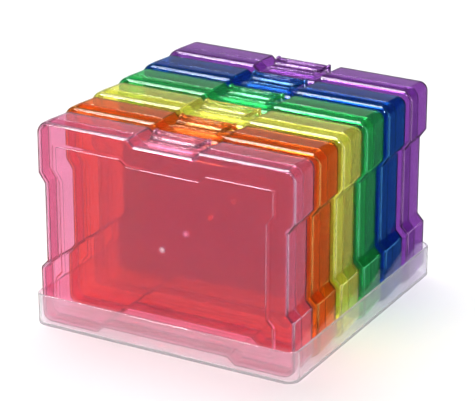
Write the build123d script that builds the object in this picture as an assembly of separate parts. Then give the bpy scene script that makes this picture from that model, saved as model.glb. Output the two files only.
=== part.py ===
"""Photo keeper: six tinted clamshell cases for 4 x 6 inch prints, standing on edge in one low clear tray.

X runs along the length of a case, Y from the front case to the rear one, Z up. The origin is the middle of
the tray's underside. Each case has a base shell at its rear, a lid shell at its front and a latch on top.
"""

from build123d import *
from math import sqrt
import os

# Driving dimensions, in millimetres and degrees.

# The set
case_colours = ("pink", "orange", "yellow", "green", "blue", "purple")  # front to rear
case_gap = 0.6  # between cases pushed together
leaning_gap = 2.0  # in front of the last case, which stands back against the tray

# One case, standing on its long edge
case_width = 168.0
case_height = 125.5
case_thickness = 28.8
wall = 1.4
corner_radius = 7.0
face_edge_bevel = 1.5

# Its outline: wide shoulders and feet, a waist between them, a recess at the top and one at the bottom
shoulder_height = 32.0
foot_height = 34.5
waist_inset = 4.2
shoulder_step = 6.0
foot_step = 4.5
latch_recess_width = 37.5
latch_recess_depth = 4.0
hinge_recess_width = 83.0
hinge_recess_depth = 4.0
recess_slope = 4.5

# The raised panel of the lid, with sloped sides
panel_inset = 11.0
panel_step = 0.8
panel_radius = 3.0

# The seam between lid and base
lid_depth = 12.0
seam_gap = 0.15
lip_height = 8.5
lip_thickness = 1.0
lip_clearance = 0.2

# The hinge along the bottom edge: two hooks on the lid, each around a bar on the base
hinge_spacing = 52.0
hinge_hook_width = 10.0
hinge_hook_thickness = 1.0
hinge_hook_root = 3.0
hinge_bar_offset = 1.0
hinge_bar_depth = 1.6
hinge_bar_height = 1.2
hinge_post_width = 2.0
hinge_clearance = 0.3

# The latch, which hooks over a ridge on the lid
latch_width = 32.0
latch_front = 14.0
latch_pivot_depth = 24.0
latch_pivot_height = 1.85
latch_thickness = 2.8
latch_heel = 1.0
latch_heel_bevel = 0.6
latch_corner_radius = 1.6
latch_tongue_reach = 5.4
latch_tongue_thickness = 1.0
latch_hook_thickness = 1.0
latch_pin_radius = 0.8
latch_pin_length = 1.8
latch_clearance = 0.4
latch_grip_end = 5.5
latch_grip_edge = 1.5
latch_grip_depth = 1.0
ridge_thickness = 1.0
ridge_height = 1.0
ear_thickness = 1.9
ear_rim = 0.7
ear_bevel = 0.8
pin_clearance = 0.3

# The tray
tray_height = 20.0
tray_wall = 1.5
tray_floor = 1.6
tray_corner_clearance = 0.35
tray_foot_bevel = 1.2
tray_side_clearance = 1.4
tray_front_clearance = 1.2


def case_front(number):
    """Where the front of a case lies, from the front of the set."""
    last = len(case_colours) - 1
    lean = leaning_gap - case_gap if number == last else 0.0
    return number * (case_thickness + case_gap) + lean


def radius_clearing(across, along):
    """The radius of the tray's inner corner that clears a point this far from the corner's two walls."""
    across -= tray_corner_clearance
    along -= tray_corner_clearance
    return across + along + tray_corner_clearance + sqrt(2 * across * along)


set_depth = case_front(len(case_colours) - 1) + case_thickness
latch_floor = case_height - latch_recess_depth
latch_pivot_z = latch_floor + latch_pivot_height
tray_width = case_width + 2 * (tray_side_clearance + tray_wall)
tray_depth = set_depth + 2 * (tray_front_clearance + tray_wall)

# A round corner comes nearest to the two ends of the bevel on a case's upright edge.
tray_inner_radius = min(
    radius_clearing(tray_side_clearance + face_edge_bevel, tray_front_clearance),
    radius_clearing(tray_side_clearance, tray_front_clearance + face_edge_bevel),
)


def case_corners():
    """The case's corners from the front, anticlockwise from the hinge recess: x, z, and if it is main."""
    half = case_width / 2
    waist = half - waist_inset
    shoulder = case_height - shoulder_height
    right = [
        (hinge_recess_width / 2, hinge_recess_depth, False),
        (hinge_recess_width / 2 + recess_slope, 0, False),
        (half, 0, True),
        (half, foot_height, False),
        (waist, foot_height + foot_step, False),
        (waist, shoulder - shoulder_step, False),
        (half, shoulder, False),
        (half, case_height, True),
        (latch_recess_width / 2 + recess_slope, case_height, False),
        (latch_recess_width / 2, latch_floor, False),
    ]
    left = [(-x, z, main) for x, z, main in reversed(right)]
    return right + left


def neighbours(items):
    """Each item of a closed ring, between the one before it and the one after it."""
    return zip(items[-1:] + items[:-1], items, items[1:] + items[:1])


def inset_corners(inset):
    """The case's corners with each side moved inwards by inset: the point, and whether it is a main one."""
    corners = case_corners()
    points = [Vector(x, z) for x, z, _ in corners]
    moved = []
    for before, here, after in neighbours(points):
        along_in = (here - before).normalized()
        along_out = (after - here).normalized()
        inward_in = Vector(-along_in.Y, along_in.X)
        inward_out = Vector(-along_out.Y, along_out.X)
        reach = inset / (1 + inward_in.dot(inward_out))
        moved.append(here + (inward_in + inward_out) * reach)
    return [(point, main) for point, (_, _, main) in zip(moved, corners)]


def round_outline(inset, radius):
    """The case's outline as a face, moved inwards by inset, with its four main corners rounded."""
    corners = inset_corners(inset)
    radii = [radius if main else 0 for _, main in corners]
    return make_face(FilletPolyline(*[point for point, _ in corners], radius=radii, close=True))


def cut_outline(inset):
    """The same for an inside wall, whose main corners are cut off along the middle tangents of rounds."""
    corners = inset_corners(inset)
    cut = (2 - sqrt(2)) * (corner_radius - inset)
    points = []
    for (before, _), (here, main), (after, _) in neighbours(corners):
        if main:
            points.append(here + (before - here).normalized() * cut)
            points.append(here + (after - here).normalized() * cut)
        else:
            points.append(here)
    return make_face(Polyline(*points, close=True))


def sharp_outline(inset):
    """The same with its main corners left sharp."""
    return make_face(Polyline(*[point for point, _ in inset_corners(inset)], close=True))


def slab(face, front, back):
    """A face drawn as seen from the front, as a solid from one depth to another."""
    return extrude(Plane.XZ.offset(-front) * face, amount=front - back)


def rod(radius, start, end, depth, height):
    """A round bar along X."""
    middle = Pos((start + end) / 2, depth, height)
    return middle * Rot(0, 90, 0) * Cylinder(radius, end - start)


def block(start, end, front, back, bottom, top):
    """A box between six planes."""
    middle = Pos((start + end) / 2, (front + back) / 2, (bottom + top) / 2)
    return middle * Box(end - start, back - front, top - bottom)


def front_edges(solid):
    return solid.faces().sort_by(Axis.Y)[0].edges()


def back_edges(solid):
    return solid.faces().sort_by(Axis.Y)[-1].edges()


def hinge_places():
    return (-hinge_spacing / 2, hinge_spacing / 2)


def lid():
    """The front shell: a raised panel, a rim around the base's lip, the catch ridge and two hinge hooks."""
    body = slab(round_outline(0, corner_radius), panel_step, lid_depth)
    body = chamfer(front_edges(body), face_edge_bevel)
    panel = slab(round_outline(panel_inset, panel_radius), 0, panel_step + wall)
    body += chamfer(front_edges(panel), panel_step)
    body -= slab(cut_outline(wall), panel_step + wall, lid_depth)
    body -= slab(sharp_outline(panel_inset + panel_step + wall), wall, panel_step + wall)

    ridge_front = latch_front - latch_tongue_reach + latch_hook_thickness + latch_clearance
    ridge_back = ridge_front + ridge_thickness
    ridge_reach = latch_width / 2 - latch_corner_radius
    body += block(-ridge_reach, ridge_reach, ridge_front, ridge_back, latch_floor, latch_floor + ridge_height)

    half = hinge_hook_width / 2
    root_front = lid_depth - hinge_hook_root
    finger_top = hinge_recess_depth - hinge_clearance
    finger_bottom = finger_top - hinge_hook_thickness
    bar_back = lid_depth + hinge_bar_offset + hinge_bar_depth
    hook_front = bar_back + hinge_clearance
    hook_back = hook_front + hinge_hook_thickness
    hook_bottom = finger_bottom - hinge_clearance - hinge_bar_height
    for place in hinge_places():
        body += block(
            place - half, place + half, root_front, lid_depth - seam_gap, finger_bottom, hinge_recess_depth
        )
        body += block(place - half, place + half, root_front, hook_back, finger_bottom, finger_top)
        body += block(place - half, place + half, hook_front, hook_back, hook_bottom, finger_top)
    return body


def base():
    """The rear shell: a lip that enters the lid, the latch's ears and the bars for the lid's hooks."""
    front = lid_depth + seam_gap
    body = slab(round_outline(0, corner_radius), front, case_thickness)
    body = chamfer(back_edges(body), face_edge_bevel)
    body -= slab(cut_outline(wall), front, case_thickness - wall)

    lip_out = wall + lip_clearance
    lip_in = lip_out + lip_thickness
    lip = slab(cut_outline(lip_out), lid_depth - lip_height, front)
    root = slab(cut_outline(wall), front, front + lip_thickness)
    body += lip + root - slab(cut_outline(lip_in), lid_depth - lip_height, front + lip_thickness)

    bore = latch_pin_radius + pin_clearance
    ear_reach = bore + ear_rim
    ear_start = latch_width / 2 + latch_clearance
    ear_end = ear_start + ear_thickness
    ear_front = latch_pivot_depth - ear_reach
    ear_back = latch_pivot_depth + ear_reach
    for start, end in ((-ear_end, -ear_start), (ear_start, ear_end)):
        ear = block(start, end, ear_front, ear_back, latch_floor, latch_pivot_z + ear_reach)
        ear = chamfer(ear.edges().filter_by(Axis.X).group_by(Axis.Z)[-1], ear_bevel)
        body += ear - rod(bore, start, end, latch_pivot_depth, latch_pivot_z)

    near = hinge_hook_width / 2 + hinge_clearance
    far = near + hinge_post_width
    bar_front = lid_depth + hinge_bar_offset
    bar_back = bar_front + hinge_bar_depth
    bar_top = hinge_recess_depth - 2 * hinge_clearance - hinge_hook_thickness
    for place in hinge_places():
        body += block(place - far, place + far, bar_front, bar_back, bar_top - hinge_bar_height, bar_top)
        for start, end in ((place - far, place - near), (place + near, place + far)):
            body += block(start, end, bar_front, bar_back, bar_top - hinge_bar_height, hinge_recess_depth)
    return body


def latch():
    """The latch: a scooped grip that turns on two pins, and a hooked tongue that reaches over the lid."""
    half = latch_width / 2
    top = latch_pivot_z + latch_thickness / 2
    bottom = latch_pivot_z - latch_thickness / 2
    back = latch_pivot_depth + latch_heel
    grip = block(-half, half, latch_front, back, bottom, top)
    grip = fillet(grip.edges().filter_by(Axis.Z).group_by(Axis.Y)[0], latch_corner_radius)
    grip = chamfer(grip.edges().filter_by(Axis.X).group_by(Axis.Y)[-1], latch_heel_bevel)
    scoop_reach = half - latch_grip_end
    scoop_front = latch_front + latch_grip_edge
    scoop_back = latch_pivot_depth - latch_grip_edge
    grip -= block(-scoop_reach, scoop_reach, scoop_front, scoop_back, top - latch_grip_depth, top)

    reach = half - latch_corner_radius
    tongue_front = latch_front - latch_tongue_reach
    tongue_bottom = latch_floor + ridge_height + latch_clearance
    tongue_top = tongue_bottom + latch_tongue_thickness
    tongue = block(-reach, reach, tongue_front, latch_front, tongue_bottom, tongue_top)
    hook_back = tongue_front + latch_hook_thickness
    hook = block(-reach, reach, tongue_front, hook_back, latch_floor + latch_clearance, tongue_bottom)

    pin_reach = half + latch_pin_length
    pins = rod(latch_pin_radius, -pin_reach, -half, latch_pivot_depth, latch_pivot_z)
    pins += rod(latch_pin_radius, half, pin_reach, latch_pivot_depth, latch_pivot_z)
    return grip + tongue + hook + pins


def tray():
    """The open tray: a floor and four walls in one moulding, with rounded corners and a bevelled foot."""
    plan = RectangleRounded(tray_width, tray_depth, tray_inner_radius + tray_wall)
    inner_plan = RectangleRounded(tray_width - 2 * tray_wall, tray_depth - 2 * tray_wall, tray_inner_radius)
    body = extrude(plan, amount=tray_height)
    body = chamfer(body.faces().sort_by(Axis.Z)[0].edges(), tray_foot_bevel)
    return body - Pos(0, 0, tray_floor) * extrude(inner_plan, amount=tray_height)


def main():
    os.makedirs("parts", exist_ok=True)
    export_step(tray(), "parts/tray.step")
    pieces = {"base": base(), "lid": lid(), "latch": latch()}
    for number, colour in enumerate(case_colours):
        place = Pos(0, case_front(number) - set_depth / 2, tray_floor)
        for name, piece in pieces.items():
            export_step(place * piece, f"parts/{colour}_{name}.step")


main()
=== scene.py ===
# %% [markdown]
# # A photo keeper: six tinted cases in a clear tray
#
# The object is a set of six clamshell cases for small prints. They stand on edge, front to back, in one low
# clear tray. Everything is moulded polypropylene, so nearly all of the look is in how the plastic passes
# light: each wall is thin and tinted, and every case colours what is seen through it.
#
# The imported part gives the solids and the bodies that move. This lesson dresses each solid with a moulding
# that has the same form with rounded edges and a little draft, gives the plastics their finish, and adds a
# floor and the studio light. The frame is loaded first, because every later step is placed by it.

from math import cos, pi, radians, sin, tan

import bmesh
import bpy
from mathutils import Matrix, Vector


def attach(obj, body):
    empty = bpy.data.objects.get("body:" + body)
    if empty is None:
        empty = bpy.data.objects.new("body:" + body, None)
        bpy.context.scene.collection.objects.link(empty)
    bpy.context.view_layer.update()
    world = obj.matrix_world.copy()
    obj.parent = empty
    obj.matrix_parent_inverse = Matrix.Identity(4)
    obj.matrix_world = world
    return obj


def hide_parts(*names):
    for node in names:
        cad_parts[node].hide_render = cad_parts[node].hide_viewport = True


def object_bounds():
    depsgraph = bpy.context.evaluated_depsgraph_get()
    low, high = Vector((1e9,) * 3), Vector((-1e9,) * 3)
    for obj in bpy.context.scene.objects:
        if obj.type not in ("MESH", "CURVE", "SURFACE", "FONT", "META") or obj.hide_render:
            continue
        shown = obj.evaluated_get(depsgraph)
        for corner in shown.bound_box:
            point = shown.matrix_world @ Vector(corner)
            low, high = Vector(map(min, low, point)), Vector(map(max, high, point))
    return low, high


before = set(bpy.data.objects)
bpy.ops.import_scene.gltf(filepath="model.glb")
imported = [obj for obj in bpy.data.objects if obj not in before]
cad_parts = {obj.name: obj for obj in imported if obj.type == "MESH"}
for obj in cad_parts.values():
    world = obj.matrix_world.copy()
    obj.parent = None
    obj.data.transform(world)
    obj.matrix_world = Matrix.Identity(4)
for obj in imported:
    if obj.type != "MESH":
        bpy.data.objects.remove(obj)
cad_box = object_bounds()
LOW, HIGH = (Vector(corner) for corner in cad_box)
CENTRE = (LOW + HIGH) / 2
MM = 0.001
COLOURS = ("pink", "orange", "yellow", "green", "blue", "purple")
print("nodes", len(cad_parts), "size in mm", [round(side / MM, 1) for side in HIGH - LOW])

# %% [markdown]
# ## The camera
#
# Pictures of such sets are taken with a long lens, from the front right and above, so that the cases stay
# nearly parallel and their tops and ends both show. The place is given the way a viewer would say it, as an
# azimuth, an elevation and a distance, and the lens is chosen so that the set fills the frame.

# %% Camera
VIEW_AZIMUTH = radians(29.0)
VIEW_ELEVATION = radians(22.0)
VIEW_DISTANCE = 1.434
LENS_MM, SENSOR_MM = 182.0, 36.0
FARTHEST_SEEN = 20.0


def direction(azimuth, elevation):
    """The unit vector from the set towards a place seen at this azimuth and elevation."""
    return Vector((sin(azimuth) * cos(elevation), -cos(azimuth) * cos(elevation), sin(elevation)))


towards_camera = direction(VIEW_AZIMUTH, VIEW_ELEVATION)
camera_data = bpy.data.cameras.new("camera")
camera_data.lens = LENS_MM
camera_data.sensor_width = SENSOR_MM
camera_data.clip_end = FARTHEST_SEEN
camera = bpy.data.objects.new("camera", camera_data)
bpy.context.scene.collection.objects.link(camera)
camera.location = CENTRE + towards_camera * VIEW_DISTANCE
camera.rotation_euler = towards_camera.to_track_quat("Z", "Y").to_euler()
bpy.context.scene.camera = camera
print("camera at", [round(value, 3) for value in camera.location])

# %% [markdown]
# ## Colour and node helpers
#
# Colours are picked as sRGB hex values, but shaders work in linear light, so one function converts them.
# A second function adds a shader node with its settings and links, so that each material reads as a list.

# %% Helpers for colour and nodes
def linear(code):
    """A hex sRGB colour as linear red, green, blue and an alpha of 1."""
    values = [int(code[place : place + 2], 16) / 255 for place in (0, 2, 4)]
    bent = [value / 12.92 if value <= 0.04045 else ((value + 0.055) / 1.055) ** 2.4 for value in values]
    return (*bent, 1.0)


def add_node(tree, kind, settings=None, values=None, links=None):
    """Adds a node, sets its properties and socket values, and links its inputs to other nodes' outputs."""
    node = tree.nodes.new(kind)
    for name, value in (settings or {}).items():
        setattr(node, name, value)
    for name, value in (values or {}).items():
        node.inputs[name].default_value = value
    for name, output in (links or {}).items():
        tree.links.new(output, node.inputs[name])
    return node


def new_material(name):
    """An empty material and its node tree."""
    material = bpy.data.materials.new(name)
    material.use_nodes = True
    material.node_tree.nodes.clear()
    return material, material.node_tree


print("white is", linear("ffffff"))

# %% [markdown]
# ## Light through thin plastic
#
# A ray tracer can't aim a lamp's light through a wall that bends it, so what stands inside clear cases gets
# too dark. In thin walls the bending hardly matters. The usual way round it is to let shadow rays pass each
# surface as if it were a clear film with the plastic's tint, and to show every other ray the real material.

# %% Let lamp light through
def let_light_through(tree, shader, tint):
    """Shows the shader to all rays but shadow rays, which pass it as a clear film of the tint."""
    path = add_node(tree, "ShaderNodeLightPath")
    film = add_node(tree, "ShaderNodeBsdfTransparent", values={"Color": tint})
    mixed = add_node(tree, "ShaderNodeMixShader", links={"Fac": path.outputs["Is Shadow Ray"]})
    tree.links.new(shader.outputs["BSDF"], mixed.inputs[1])
    tree.links.new(film.outputs["BSDF"], mixed.inputs[2])
    add_node(tree, "ShaderNodeOutputMaterial", links={"Surface": mixed.outputs["Shader"]})


# %% [markdown]
# ## Waves from the mould
#
# Moulded polypropylene is glossy, but the melt leaves slow waves in the surface as it flows away from the
# gate. They are some 18 mm long and too shallow to model, so a noise of that scale drives a bump, which bends
# the reflections a little. In the cases the same noise makes the gloss uneven too.

# %% Flow waves
FLOW_WAVE = 18 * MM
WAVE_HEIGHT = 0.6 * MM
PLASTIC_IOR = 1.49


def flow_waves(tree, place):
    """The noise of the waves and a bump made of it, at a place that moves with the piece."""
    ripple = add_node(
        tree,
        "ShaderNodeTexNoise",
        values={"Scale": 1 / FLOW_WAVE, "Detail": 1.0, "Roughness": 0.4},
        links={"Vector": place.outputs["Object"]},
    )
    bump = add_node(
        tree,
        "ShaderNodeBump",
        values={"Strength": 0.1, "Distance": WAVE_HEIGHT},
        links={"Height": ripple.outputs["Fac"]},
    )
    return ripple, bump


print("a wave is", round(FLOW_WAVE / MM), "mm long")

# %% [markdown]
# ## Tinted polypropylene
#
# The cases are injection moulded from clear polypropylene with a dye in it. Light passes through each wall
# twice as it goes in and out of a shell, which is why the colours deepen where cases stand behind each
# other. A little of the light is scattered by the plastic itself, as polypropylene is never quite clear,
# and each dye adds its own haze. A wall has two surfaces, so the film that shadow rays pass on each of them
# has half the depth of the wall's tint. It also takes a little light for what the real surface mirrors.
#
# The melt enters each shell through a gate in the middle of its face. Round the gate's mark a white spot is
# painted, a painted highlight for the glint that the mark catches. The distance from the gate's axis says how
# much.

# %% Tinted polypropylene
WALL_HEX = {
    "pink": "f7c3d9",
    "orange": "fbac60",
    "yellow": "fbfba4",
    "green": "68e19f",
    "blue": "488ed3",
    "purple": "ba87cf",
}
HAZE = {"pink": 0.035, "orange": 0.035, "yellow": 0.06, "green": 0.05, "blue": 0.03, "purple": 0.04}
FILM_DEPTH, FILM_SHADE = 0.5, 0.9
GATE_HEIGHT, GATE_CORE, GATE_REACH = 64.35 * MM, 0.6 * MM, 2.6 * MM
# Painted highlight: the gate's mark is painted white, and made less clear, out to the gate's reach.
GLINT_CLEARNESS = 0.4


def painted_gate_glint(tree, place):
    """How strong the painted highlight at the gate is: 1 at the gate's axis, falling to 0 at the reach."""
    from_gate = add_node(
        tree,
        "ShaderNodeVectorMath",
        settings={"operation": "SUBTRACT"},
        values={1: (0, 0, GATE_HEIGHT)},
        links={0: place.outputs["Object"]},
    )
    across_face = add_node(
        tree,
        "ShaderNodeVectorMath",
        settings={"operation": "MULTIPLY"},
        values={1: (1, 0, 1)},
        links={0: from_gate.outputs["Vector"]},
    )
    distance = add_node(
        tree,
        "ShaderNodeVectorMath",
        settings={"operation": "LENGTH"},
        links={0: across_face.outputs["Vector"]},
    )
    return add_node(
        tree,
        "ShaderNodeMapRange",
        values={"From Min": GATE_CORE, "From Max": GATE_REACH, "To Min": 1.0, "To Max": 0.0},
        links={"Value": distance.outputs["Value"]},
    )


def tinted_polypropylene(colour):
    """Clear plastic with a dye: glossy, wavy and almost without haze, with a painted highlight at the gate.
    """
    material, tree = new_material(f"{colour}_tinted_polypropylene")
    place = add_node(tree, "ShaderNodeTexCoord")
    ripple, bump = flow_waves(tree, place)
    gloss = add_node(
        tree,
        "ShaderNodeMapRange",
        values={"From Min": 0.3, "From Max": 0.7, "To Min": 0.03, "To Max": 0.07},
        links={"Value": ripple.outputs["Fac"]},
    )
    # Painted highlight: round the gate's mark the colour is mixed towards white and the plastic made less
    # clear.
    painted_glint = painted_gate_glint(tree, place)
    tint, clearness = linear(WALL_HEX[colour]), 1 - HAZE[colour]
    glint_tint = add_node(
        tree,
        "ShaderNodeMix",
        settings={"data_type": "RGBA"},
        values={6: tint, 7: linear("ffffff")},
        links={"Factor": painted_glint.outputs["Result"]},
    )
    clearing = add_node(
        tree,
        "ShaderNodeMapRange",
        values={"To Min": clearness, "To Max": GLINT_CLEARNESS},
        links={"Value": painted_glint.outputs["Result"]},
    )
    shader = add_node(
        tree,
        "ShaderNodeBsdfPrincipled",
        values={"Base Color": tint, "IOR": PLASTIC_IOR, "Transmission Weight": clearness},
        links={
            "Base Color": glint_tint.outputs[2],
            "Transmission Weight": clearing.outputs["Result"],
            "Normal": bump.outputs["Normal"],
            "Roughness": gloss.outputs["Result"],
        },
    )
    let_light_through(tree, shader, [value**FILM_DEPTH * FILM_SHADE for value in tint])
    return material


tinted = {colour: tinted_polypropylene(colour) for colour in COLOURS}
print("tinted", list(tinted))

# %% [markdown]
# ## Clear polypropylene
#
# The tray is the same plastic without a dye. It is a little milky, so it whitens what stands behind it.

# %% Clear polypropylene
CLEAR_HEX = "fcfcfe"
TRAY_ROUGHNESS, TRAY_CLEARNESS = 0.08, 0.8


def clear_polypropylene():
    """Plastic without a dye: evenly glossy, wavy and milky."""
    material, tree = new_material("clear_polypropylene")
    place = add_node(tree, "ShaderNodeTexCoord")
    bump = flow_waves(tree, place)[1]
    shader = add_node(
        tree,
        "ShaderNodeBsdfPrincipled",
        values={
            "Base Color": linear(CLEAR_HEX),
            "Roughness": TRAY_ROUGHNESS,
            "IOR": PLASTIC_IOR,
            "Transmission Weight": TRAY_CLEARNESS,
        },
        links={"Normal": bump.outputs["Normal"]},
    )
    let_light_through(tree, shader, linear(CLEAR_HEX))
    return material


clear = clear_polypropylene()
print("clear", clear.name)

# %% [markdown]
# ## One outline for every ring
#
# A shell of a case is a wall that follows one outline all the way round: wide shoulders and feet, a waist
# between them, and a recess at the top and at the bottom. It could be cut from blocks, but it is simpler to
# see it as a stack of rings. Each ring is the same outline, moved inwards by some inset, at some depth. This
# cell gives the outline's corners in millimetres and moves their sides inwards.

# %% The outline's corners
CASE_WIDTH, CASE_HEIGHT, CASE_THICKNESS = 168.0, 125.5, 28.8
TRAY_FLOOR = 1.6
RECESS_DEPTH = 4.0
LATCH_FLOOR = CASE_HEIGHT - RECESS_DEPTH


def case_corners():
    """The corners seen from the front, anticlockwise, each with whether it is one of the four large ones."""
    half = CASE_WIDTH / 2
    right = [
        (41.5, RECESS_DEPTH, False),
        (46.0, 0, False),
        (half, 0, True),
        (half, 34.5, False),
        (half - 4.2, 39.0, False),
        (half - 4.2, 87.5, False),
        (half, 93.5, False),
        (half, CASE_HEIGHT, True),
        (23.25, CASE_HEIGHT, False),
        (18.75, LATCH_FLOOR, False),
    ]
    return right + [(-x, z, large) for x, z, large in reversed(right)]


def inset_corners(inset):
    """The corners after every side has moved inwards by the inset."""
    corners = case_corners()
    points = [Vector((x, z)) for x, z, large in corners]
    moved = []
    for place, here in enumerate(points):
        along_in = (here - points[place - 1]).normalized()
        along_out = (points[(place + 1) % len(points)] - here).normalized()
        inward_in = Vector((-along_in.y, along_in.x))
        inward_out = Vector((-along_out.y, along_out.x))
        moved.append(here + (inward_in + inward_out) * inset / (1 + inward_in.dot(inward_out)))
    return [(point, large) for point, (x, z, large) in zip(moved, corners)]


print("corners", len(case_corners()))

# %% [markdown]
# ## Rounding the corners of a ring
#
# The corners of each ring are rounded with the same number of points, however small the round is. Rings
# with equal numbers of points can then be joined one to the next without a twist. The four large corners
# are rounded most, and the small ones only as much as the mould needs.

# %% Rounded rings
LARGE_POINTS, SMALL_POINTS = 10, 4
CORNER_ROUND, SMALL_ROUND = 7.0, 1.0


def rounded_corner(before, here, after, radius, count):
    """Points along the round that replaces one corner."""
    to_before, to_after = (before - here).normalized(), (after - here).normalized()
    half_angle = to_before.angle(to_after) / 2
    middle = here + (to_before + to_after).normalized() * radius / sin(half_angle)
    start = (here + to_before * radius / tan(half_angle) - middle).normalized()
    end = (here + to_after * radius / tan(half_angle) - middle).normalized()
    return [middle + start.slerp(end, step / (count - 1)) * radius for step in range(count)]


def case_ring(inset, large_round):
    """The case's outline as points, moved inwards by the inset, with its corners rounded."""
    corners = inset_corners(inset)
    ring = []
    for place, (here, large) in enumerate(corners):
        before, after = corners[place - 1][0], corners[(place + 1) % len(corners)][0]
        radius, count = (large_round, LARGE_POINTS) if large else (SMALL_ROUND, SMALL_POINTS)
        ring += rounded_corner(before, here, after, radius, count)
    return ring


def round_ring(radius, middle=Vector((0, CASE_HEIGHT / 2))):
    """A circle in the middle of the outline, with a point in the direction of each point of the outline."""
    return [middle + (point - middle).normalized() * radius for point in case_ring(0, CORNER_ROUND)]


print("points in a ring", len(case_ring(0, CORNER_ROUND)))

# %% [markdown]
# ## From rings to a shell
#
# A list of rings goes from the middle of the outer face, over the edge, along the wall, around the rim and
# back to the middle of the inner face. The skin starts as a face on the first ring. Its edge is extruded and
# moved to each next ring in turn, and the last ring is closed with a face. bridge_loops could join the rings
# too, but it may pick partners for itself and twist, while extruding keeps each point's partner.

# %% Growing a skin from ring to ring
CASE_STEP, LEANING_STEP = 29.4, 1.4
SET_DEPTH = (len(COLOURS) - 1) * CASE_STEP + LEANING_STEP + CASE_THICKNESS


def place_in_case(across, depth, height):
    """A place in the front case, given in millimetres from its own front and foot, in metres."""
    return Vector((across, depth - SET_DEPTH / 2, height + TRAY_FLOOR)) * MM


def skin_over(rings):
    """A closed skin over rings, each given as a list of places."""
    shape = bmesh.new()
    edge_of_skin = [shape.verts.new(place) for place in rings[0]]
    shape.faces.new(edge_of_skin)
    for ring in rings[1:]:
        pairs = zip(edge_of_skin, edge_of_skin[1:] + edge_of_skin[:1])
        grown = bmesh.ops.extrude_edge_only(shape, edges=[shape.edges.get(pair) for pair in pairs])
        new = {part for part in grown["geom"] if isinstance(part, bmesh.types.BMVert)}
        partners = [[edge.other_vert(vertex) for edge in vertex.link_edges] for vertex in edge_of_skin]
        edge_of_skin = [next(other for other in others if other in new) for others in partners]
        for vertex, place in zip(edge_of_skin, ring):
            vertex.co = place
    shape.faces.new(edge_of_skin)
    bmesh.ops.recalc_face_normals(shape, faces=shape.faces)
    return shape


print("the six cases are", round(SET_DEPTH, 1), "mm deep")

# %% [markdown]
# ## The lid shell
#
# The lid is the front shell: a raised panel with sloped sides, a flat margin around it, a rounded edge and a
# rim. Each row of its profile is an inset, a depth and the radius of the large corners, in millimetres. The
# rows of the round edge lie on a quarter of an ellipse, so they come from one small function, and the rows
# over a wall's end from another. The wall leans in a little towards the rim, as it has to leave its mould. In
# the middle of the panel is the mark of the gate: a shallow dimple with the ring of a broken-off stub.

# %% Lid profile
WALL = 1.4
PANEL_STEP = 0.8
RIM_ROUND = 0.3
LID_DEPTH, LID_DRAFT, LID_RIM = 12.0, 0.25, 1.5
EDGE_REACH, EDGE_DEPTH = 2.0, 3.6
STUB_RINGS = [(0.3, 0.06), (0.45, 0.14), (0.85, 0.58), (1.05, 0.68), (1.3, 0.62), (2.1, 0.1), (2.4, 0.0)]


def quarter_round(inset, depth, inset_reach, depth_reach, steps=4):
    """Rows from a flat face round to a wall: it starts flat at the inset and ends at the depth."""
    rows = []
    for step in range(steps + 1):
        turn = pi / 2 * step / steps
        rows.append((inset + inset_reach * sin(turn), depth + depth_reach * (1 - cos(turn))))
    return rows


def rim(outer, inner, end, towards):
    """Rows over the rounded end of a wall, which points rearwards with towards 1, and forwards with -1."""
    slope = 0.3 * RIM_ROUND
    rows = [(outer, RIM_ROUND), (outer + slope, slope), (outer + RIM_ROUND, 0)]
    rows += [(inner - RIM_ROUND, 0), (inner - slope, slope), (inner, RIM_ROUND)]
    return [(inset, end - towards * short) for inset, short in rows]


def with_radius(rows):
    """Adds the radius of the large corners, which shrinks as the wall moves inwards."""
    return [(inset, depth, CORNER_ROUND - inset) for inset, depth in rows]


lid_profile = [(12.1, 0, 2.2), (11.75, 0.06, 2.4), (11.15, 0.65, 2.8), (10.8, PANEL_STEP, 3.1)]
lid_profile += with_radius(quarter_round(EDGE_REACH, PANEL_STEP, -EDGE_REACH, EDGE_DEPTH))
lid_profile += with_radius(rim(LID_DRAFT, LID_RIM, LID_DEPTH, 1))
lid_profile += with_radius([(WALL, 3.2), (1.7, 2.5), (2.4, 2.2)])
lid_profile += [(12.95, 2.2, 2.0), (13.2, 2.05, 1.8), (13.3, 1.55, 1.7), (13.5, WALL, 1.5)]


def shell(profile, face, inwards):
    """A shell from its profile, with the gate mark in its outer face; inwards is 1 for rearwards or -1."""
    rings = [
        [place_in_case(point.x, face + inwards * depth, point.y) for point in round_ring(radius)]
        for radius, depth in STUB_RINGS
    ]
    for inset, depth, radius in profile:
        rings.append([place_in_case(point.x, depth, point.y) for point in case_ring(inset, radius)])
    return skin_over(rings)


lid_skin = shell(lid_profile, 0.0, 1)
print("lid faces", len(lid_skin.faces), "volume in cm3", round(lid_skin.calc_volume() * 1e6, 1))

# %% [markdown]
# ## The base shell
#
# The base is the rear shell. Its profile runs from the flat back plate round the edge and along the wall to
# the rim, then out along a thin lip that enters the lid, and back down inside to the plate. It is the deeper
# shell, so its draft shows more: the back plate is smaller than the rim all round.

# %% Base profile
BASE_FRONT = 12.15
LIP_OUT, LIP_IN, LIP_FRONT, LIP_ROOT = 1.7, 2.7, 3.5, 13.15
RIM_DRAFT, PLATE_DRAFT = 0.35, 1.5
PLATE_ROUND = 1.5
PLATE_INSIDE = CASE_THICKNESS - WALL

plate_edge = quarter_round(PLATE_DRAFT + PLATE_ROUND, CASE_THICKNESS, -PLATE_ROUND, -PLATE_ROUND)
seam = rim(RIM_DRAFT, LIP_OUT, BASE_FRONT, -1)[:3] + [(LIP_OUT, BASE_FRONT)]
lip = rim(LIP_OUT, LIP_IN, LIP_FRONT, -1) + [(LIP_IN, 13.0), (2.55, LIP_ROOT), (1.75, LIP_ROOT)]
base_profile = with_radius(plate_edge + seam + lip + [(2.8, 26.4), (3.1, 27.1), (3.8, PLATE_INSIDE)])

base_skin = shell(base_profile, CASE_THICKNESS, -1)
print("base faces", len(base_skin.faces), "volume in cm3", round(base_skin.calc_volume() * 1e6, 1))

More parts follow.
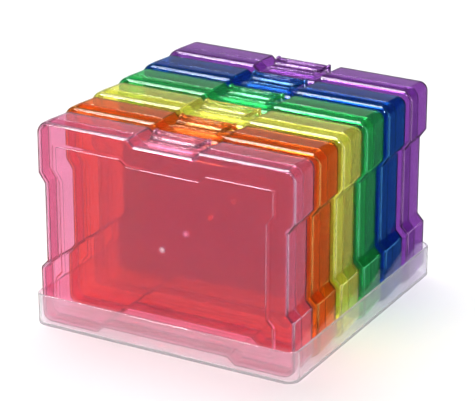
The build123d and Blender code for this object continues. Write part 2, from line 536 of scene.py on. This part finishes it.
# %% [markdown]
# ## Small blocks on the shells
#
# The catch ridge and the latch's ears are small blocks moulded on to the shells: each is a cube, scaled,
# moved and bevelled. The hooks, the hinge's bars and the latch's tongue are flat outlines drawn out into
# bars. Pins and bores are rods. A union with the shell makes them one skin, so that no wall of one is left
# inside the other to catch the light. Unions leave slivers where faces nearly meet, and a weld closes them.

# %% Blocks and unions
ROD_POINTS = 24
WELD = 0.002 * MM


def as_object(name, shape):
    """Turns a bmesh into an object with smooth faces."""
    for face in shape.faces:
        face.smooth = True
    mesh = bpy.data.meshes.new(name)
    shape.to_mesh(mesh)
    shape.free()
    thing = bpy.data.objects.new(name, mesh)
    bpy.context.scene.collection.objects.link(thing)
    return thing


def soften(shape, edge_round):
    """Rounds every edge of a shape."""
    bmesh.ops.bevel(
        shape,
        geom=shape.edges,
        offset=edge_round * MM,
        segments=2,
        profile=0.5,
        affect="EDGES",
        material=-1,
    )


def block(across, depths, heights, edge_round):
    """A box with rounded edges between three pairs of planes, in millimetres in the front case."""
    low, high = (place_in_case(*corner) for corner in zip(across, depths, heights))
    shape = bmesh.new()
    bmesh.ops.create_cube(shape, size=1.0)
    bmesh.ops.scale(shape, vec=high - low, verts=shape.verts)
    bmesh.ops.translate(shape, vec=(low + high) / 2, verts=shape.verts)
    soften(shape, edge_round)
    return as_object("block", shape)


def drawn_bar(outline, reach, edge_round):
    """A flat outline drawn out along a reach, with rounded edges, in millimetres in the front case."""
    shape = bmesh.new()
    end = shape.faces.new([shape.verts.new(place_in_case(*corner)) for corner in outline])
    drawn = bmesh.ops.extrude_face_region(shape, geom=[end])
    moved = [item for item in drawn["geom"] if isinstance(item, bmesh.types.BMVert)]
    bmesh.ops.translate(shape, vec=Vector(reach) * MM, verts=moved)
    bmesh.ops.recalc_face_normals(shape, faces=shape.faces)
    soften(shape, edge_round)
    return as_object("bar", shape)


def rod(across, radius, depth, height):
    """A round rod along X, in millimetres in the front case."""
    shape = bmesh.new()
    bmesh.ops.create_cone(
        shape,
        cap_ends=True,
        segments=ROD_POINTS,
        radius1=radius * MM,
        radius2=radius * MM,
        depth=(across[1] - across[0]) * MM,
    )
    bmesh.ops.rotate(shape, matrix=Matrix.Rotation(pi / 2, 3, "Y"), verts=shape.verts)
    bmesh.ops.translate(shape, vec=place_in_case(sum(across) / 2, depth, height), verts=shape.verts)
    return as_object("rod", shape)


def moulded(name, skin, additions=(), cuts=()):
    """The mesh of a skin with some things joined to it and others cut from it, with slivers closed."""
    whole = as_object(name, skin)
    for operation, things in (("UNION", additions), ("DIFFERENCE", cuts)):
        for thing in things:
            step = whole.modifiers.new(operation, "BOOLEAN")
            step.operation = operation
            step.object = thing
            step.solver = "EXACT"
    found = whole.evaluated_get(bpy.context.evaluated_depsgraph_get())
    mesh = bpy.data.meshes.new_from_object(found)
    mesh.name = name
    joined = bmesh.new()
    joined.from_mesh(mesh)
    bmesh.ops.remove_doubles(joined, verts=joined.verts, dist=WELD)
    bmesh.ops.dissolve_degenerate(joined, dist=WELD, edges=joined.edges)
    joined.to_mesh(mesh)
    joined.free()
    for thing in (whole, *additions, *cuts):
        bpy.data.objects.remove(thing)
    return mesh


print("helpers for small parts are ready")

# %% [markdown]
# ## Catch, ears and hinge
#
# The lid carries the ridge that the latch hooks over, and two hooks at its foot. The base carries two ears
# with a bore for the latch's pins, and two bars that the hooks turn round. Bores are cut last, so that they
# go through everything. Each part starts inside the wall that carries it, as the draft moves the wall in.

# %% Lid and base with their small parts
CATCH_REACH = 14.4
RIDGE_DEPTHS, RIDGE_ROOT, RIDGE_HEIGHT = (10.0, 11.0), 0.9, 1.0
EAR_REACH, EAR_DEPTHS, EAR_ROOT, EAR_HEIGHT = (16.4, 18.3), (22.2, 25.8), 2.2, 1.8
PIVOT_DEPTH, PIVOT_HEIGHT = 24.0, LATCH_FLOOR + 1.85
PIN_RADIUS, BORE_RADIUS = 0.8, 1.1
HINGE_PLACES = (-26.0, 26.0)
HOOK_WIDTH, BAR_FRONT, BAR_THICKNESS = 10.0, 13.0, 1.6
HOOK_OUTLINE = [(9.0, 4.9), (11.85, 4.9), (11.85, 3.7), (15.9, 3.7)]
HOOK_OUTLINE += [(15.9, 1.2), (14.9, 1.2), (14.9, 2.7), (9.0, 2.7)]
BAR_OUTLINE = [(7.3, 5.1), (7.3, 1.2), (-7.3, 1.2), (-7.3, 5.1)]
BAR_OUTLINE += [(-5.3, 5.1), (-5.3, 2.4), (5.3, 2.4), (5.3, 5.1)]

catch = (-CATCH_REACH, CATCH_REACH)
lid_parts = [block(catch, RIDGE_DEPTHS, (LATCH_FLOOR - RIDGE_ROOT, LATCH_FLOOR + RIDGE_HEIGHT), 0.25)]
for place in HINGE_PLACES:
    hook = [(place - HOOK_WIDTH / 2, depth, height) for depth, height in HOOK_OUTLINE]
    lid_parts.append(drawn_bar(hook, (HOOK_WIDTH, 0, 0), 0.15))
lid_mesh = moulded("lid", lid_skin, lid_parts)

base_parts, bores = [], []
for side in (-1, 1):
    ear = sorted(side * reach for reach in EAR_REACH)
    base_parts.append(block(ear, EAR_DEPTHS, (LATCH_FLOOR - EAR_ROOT, PIVOT_HEIGHT + EAR_HEIGHT), 0.5))
    bores.append(rod((ear[0] - 1, ear[1] + 1), BORE_RADIUS, PIVOT_DEPTH, PIVOT_HEIGHT))
for place in HINGE_PLACES:
    bar = [(place + across, BAR_FRONT, height) for across, height in BAR_OUTLINE]
    base_parts.append(drawn_bar(bar, (0, BAR_THICKNESS, 0), 0.2))
base_mesh = moulded("base", base_skin, base_parts, bores)
print("lid", len(lid_mesh.polygons), "base", len(base_mesh.polygons))

# %% [markdown]
# ## The latch
#
# The latch is a short bar that turns on two pins. Its top is scooped out between two flat pads for a
# fingertip, and a thin tongue in front of it ends in a hook that holds the lid's ridge. The grip is grown
# from rings like the shells, but its rings are rounded rectangles seen from above.

# %% Latch
RECTANGLE_POINTS = 6
PIN_ENDS = (15.0, 17.8)
TONGUE_OUTLINE = [(8.6, 2.4), (14.6, 2.4), (14.6, 1.4), (9.6, 1.4), (9.6, 0.4), (8.6, 0.4)]


def rectangle_ring(across, depths, radius, height):
    """A rounded rectangle seen from above, as places in the front case."""
    (left, right), (front, back) = across, depths
    corners = [Vector(corner) for corner in ((right, front), (right, back), (left, back), (left, front))]
    ring = []
    for place, here in enumerate(corners):
        before, after = corners[place - 1], corners[(place + 1) % 4]
        ring += rounded_corner(before, here, after, radius, RECTANGLE_POINTS)
    return [place_in_case(point.x, point.y, height) for point in ring]


GRIP_BOTTOM, GRIP_TOP, SCOOP_FLOOR = PIVOT_HEIGHT - 1.4, PIVOT_HEIGHT + 1.4, PIVOT_HEIGHT + 0.4
grip_rings = [
    (15.6, 14.4, 24.4, 1.2, GRIP_BOTTOM),
    (15.9, 14.1, 24.85, 1.5, GRIP_BOTTOM + 0.12),
    (16.0, 14.0, 25.0, 1.6, GRIP_BOTTOM + 0.4),
    (16.0, 14.0, 25.0, 1.6, GRIP_TOP - 0.4),
    (15.9, 14.1, 24.85, 1.5, GRIP_TOP - 0.12),
    (15.6, 14.4, 24.4, 1.2, GRIP_TOP),
    (10.75, 15.25, 22.75, 0.8, GRIP_TOP),
    (10.57, 15.43, 22.57, 0.6, GRIP_TOP - 0.07),
    (10.5, 15.5, 22.5, 0.5, GRIP_TOP - 0.25),
    (10.5, 15.5, 22.5, 0.5, SCOOP_FLOOR + 0.25),
    (10.2, 15.8, 22.2, 0.4, SCOOP_FLOOR),
]
grip_skin = skin_over(
    [
        rectangle_ring((-half, half), (front, back), radius, height)
        for half, front, back, radius, height in grip_rings
    ]
)
tongue = [(-CATCH_REACH, depth, LATCH_FLOOR + height) for depth, height in TONGUE_OUTLINE]
latch_parts = [drawn_bar(tongue, (2 * CATCH_REACH, 0, 0), 0.25)]
for side in (-1, 1):
    ends = sorted(side * end for end in PIN_ENDS)
    latch_parts.append(rod(ends, PIN_RADIUS, PIVOT_DEPTH, PIVOT_HEIGHT))
latch_mesh = moulded("latch", grip_skin, latch_parts)
print("latch", len(latch_mesh.polygons))

# %% [markdown]
# ## The tray
#
# The tray is one low box with round corners. Its rings are rounded rectangles too, from the underside round
# the foot, up the wall, over the rounded rim and down to the floor. The floor lies a hair under the cases'
# feet, because two clear faces at one height would flicker.

# %% Tray
TRAY_WIDTH, TRAY_DEPTH, TRAY_HEIGHT = 173.8, 182.6, 20.0
TRAY_WALL, TRAY_ROUND = 1.5, 7.3
FOOT_ROUND, EDGE_ROUND, INSIDE_ROUND = 1.2, 0.7, 1.0
FEET_CLEARANCE = 0.05

foot = quarter_round(FOOT_ROUND, 0, -FOOT_ROUND, FOOT_ROUND)
outer_edge = quarter_round(EDGE_ROUND, TRAY_HEIGHT, -EDGE_ROUND, -EDGE_ROUND)[::-1]
inner_edge = quarter_round(TRAY_WALL - EDGE_ROUND, TRAY_HEIGHT, EDGE_ROUND, -EDGE_ROUND)
floor_height = TRAY_FLOOR - FEET_CLEARANCE
inner_foot = quarter_round(TRAY_WALL + INSIDE_ROUND, floor_height, -INSIDE_ROUND, INSIDE_ROUND)[::-1]
tray_profile = foot + outer_edge + inner_edge + inner_foot


def tray_ring(inset, height):
    """The tray's outline moved inwards by the inset, at a height over the floor that it stands on."""
    across = TRAY_WIDTH / 2 - inset
    along = TRAY_DEPTH / 2 - inset
    shift = SET_DEPTH / 2
    ring = rectangle_ring((-across, across), (shift - along, shift + along), TRAY_ROUND - inset, 0)
    return [Vector((place.x, place.y, height * MM)) for place in ring]


tray_mesh = moulded("tray", skin_over([tray_ring(inset, height) for inset, height in tray_profile]))
print("tray", len(tray_mesh.polygons))

# %% [markdown]
# ## Six cases
#
# The six cases come from one mould in six colours, so each mesh is copied, moved to its case and given its
# plastic. The last case stands a little further back, where it leans on the tray. Each piece rides on the
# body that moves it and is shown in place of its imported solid.

# %% Place the pieces
def place_piece(name, mesh, step, finish, body, node):
    """Copies a mesh, moves it back by a step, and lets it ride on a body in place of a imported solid."""
    copy = mesh.copy()
    copy.transform(Matrix.Translation((0, step * MM, 0)))
    copy.materials.append(finish)
    piece = bpy.data.objects.new(name, copy)
    bpy.context.scene.collection.objects.link(piece)
    piece.modifiers.new("flat faces stay flat", "WEIGHTED_NORMAL")
    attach(piece, body)
    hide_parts(node)


for number, colour in enumerate(COLOURS):
    step = number * CASE_STEP + (LEANING_STEP if colour == COLOURS[-1] else 0)
    for part, mesh, body in (
        ("lid", lid_mesh, "case"),
        ("base", base_mesh, "case"),
        ("latch", latch_mesh, "latch_body"),
    ):
        node = f"{colour}_{part}"
        body, slot = f"{colour}_{body}", f"{colour}_plastic"
        place_piece(f"{node}_moulding", mesh, step, tinted[colour], body, node)
place_piece("tray_moulding", tray_mesh, 0, clear, "tray", "tray")

# %% [markdown]
# ## The floor
#
# The set stands on a white sweep that is lit from below as well as from above, like a light table. That glow
# is what comes up through the cases' feet and makes their lower parts brighter than their middles.
#
# A clear object shows in its reflections whatever stands around it. A white floor would put a white veil over
# every side wall, so the floor is hidden from reflections.

# %% Floor
FLOOR_HALF, FLOOR_GLOW = 4.0, 0.51

floor_mesh = bpy.data.meshes.new("floor")
shape = bmesh.new()
bmesh.ops.create_grid(shape, x_segments=1, y_segments=1, size=FLOOR_HALF)
shape.to_mesh(floor_mesh)
shape.free()
floor = bpy.data.objects.new("floor", floor_mesh)
bpy.context.scene.collection.objects.link(floor)
floor_finish, tree = new_material("white_paper_sweep")
shader = add_node(
    tree,
    "ShaderNodeBsdfPrincipled",
    values={
        "Base Color": linear("a0a0a0"),
        "Roughness": 0.9,
        "IOR": 1.3,
        "Emission Color": linear("ffffff"),
        "Emission Strength": FLOOR_GLOW,
    },
)
add_node(tree, "ShaderNodeOutputMaterial", links={"Surface": shader.outputs["BSDF"]})
floor_mesh.materials.append(floor_finish)
floor.visible_glossy = False
print("floor", floor.name)

# %% [markdown]
# ## The studio light
#
# The light for clear things comes from behind. A large soft box high behind the left shoulders of the cases
# runs along every top edge and leaves the fronts deep. Two small lamps only reflect: they give the sparkles
# on the corners, on the panels' outlines and on the slopes of the recesses. A dim card stands low behind the
# set. Only the tops of the bases lean back enough to mirror it, and so they look paler than the lids. The
# room is dark overhead, and pale near the horizon, where a studio's paper would sweep up behind the set.

# %% Soft box, lamps and card
OVERHEAD, HORIZON = 0.05, 0.65
LAMP_DISTANCE = 1.6
BOUNCES = 40

world = bpy.data.worlds.new("studio")
bpy.context.scene.world = world
world.use_nodes = True
world.cycles_visibility.glossy = False
background = world.node_tree.nodes["Background"]
background.inputs["Color"].default_value = linear("ffffff")
sky = add_node(world.node_tree, "ShaderNodeTexCoord")
height = add_node(world.node_tree, "ShaderNodeSeparateXYZ", links={"Vector": sky.outputs["Generated"]})
sweep = add_node(
    world.node_tree,
    "ShaderNodeMapRange",
    values={"From Min": 0.1, "From Max": 0.22, "To Min": HORIZON, "To Max": OVERHEAD},
    links={"Value": height.outputs["Z"]},
)
world.node_tree.links.new(sweep.outputs["Result"], background.inputs["Strength"])


def soft_light(name, azimuth, elevation, distance, size, power):
    """A light that faces the set: round with one size, or a rectangle with a width and a height."""
    data = bpy.data.lights.new(name, "AREA")
    data.shape = "DISK" if len(size) == 1 else "RECTANGLE"
    data.size = size[0]
    data.size_y = size[-1]
    data.energy = power
    light = bpy.data.objects.new(name, data)
    bpy.context.scene.collection.objects.link(light)
    towards_light = direction(radians(azimuth), radians(elevation))
    light.location = CENTRE + towards_light * distance
    light.rotation_euler = towards_light.to_track_quat("Z", "Y").to_euler()
    return light


soft_light("soft box", -140, 73, 2.4, (1.9,), 105)
soft_light("low card", -151, 11, LAMP_DISTANCE, (1.4, 0.42), 0.5)
left_lamp = soft_light("left lamp", -50, 52, LAMP_DISTANCE, (0.3,), 10)
right_lamp = soft_light("right lamp", 52, 44, LAMP_DISTANCE, (0.25,), 20)
for lamp in (left_lamp, right_lamp):
    lamp.visible_diffuse = False

scene = bpy.context.scene
scene.view_settings.view_transform = "Standard"
scene.cycles.max_bounces = BOUNCES
scene.cycles.transmission_bounces = BOUNCES
scene.cycles.transparent_max_bounces = BOUNCES
print("lights", len(bpy.data.lights))
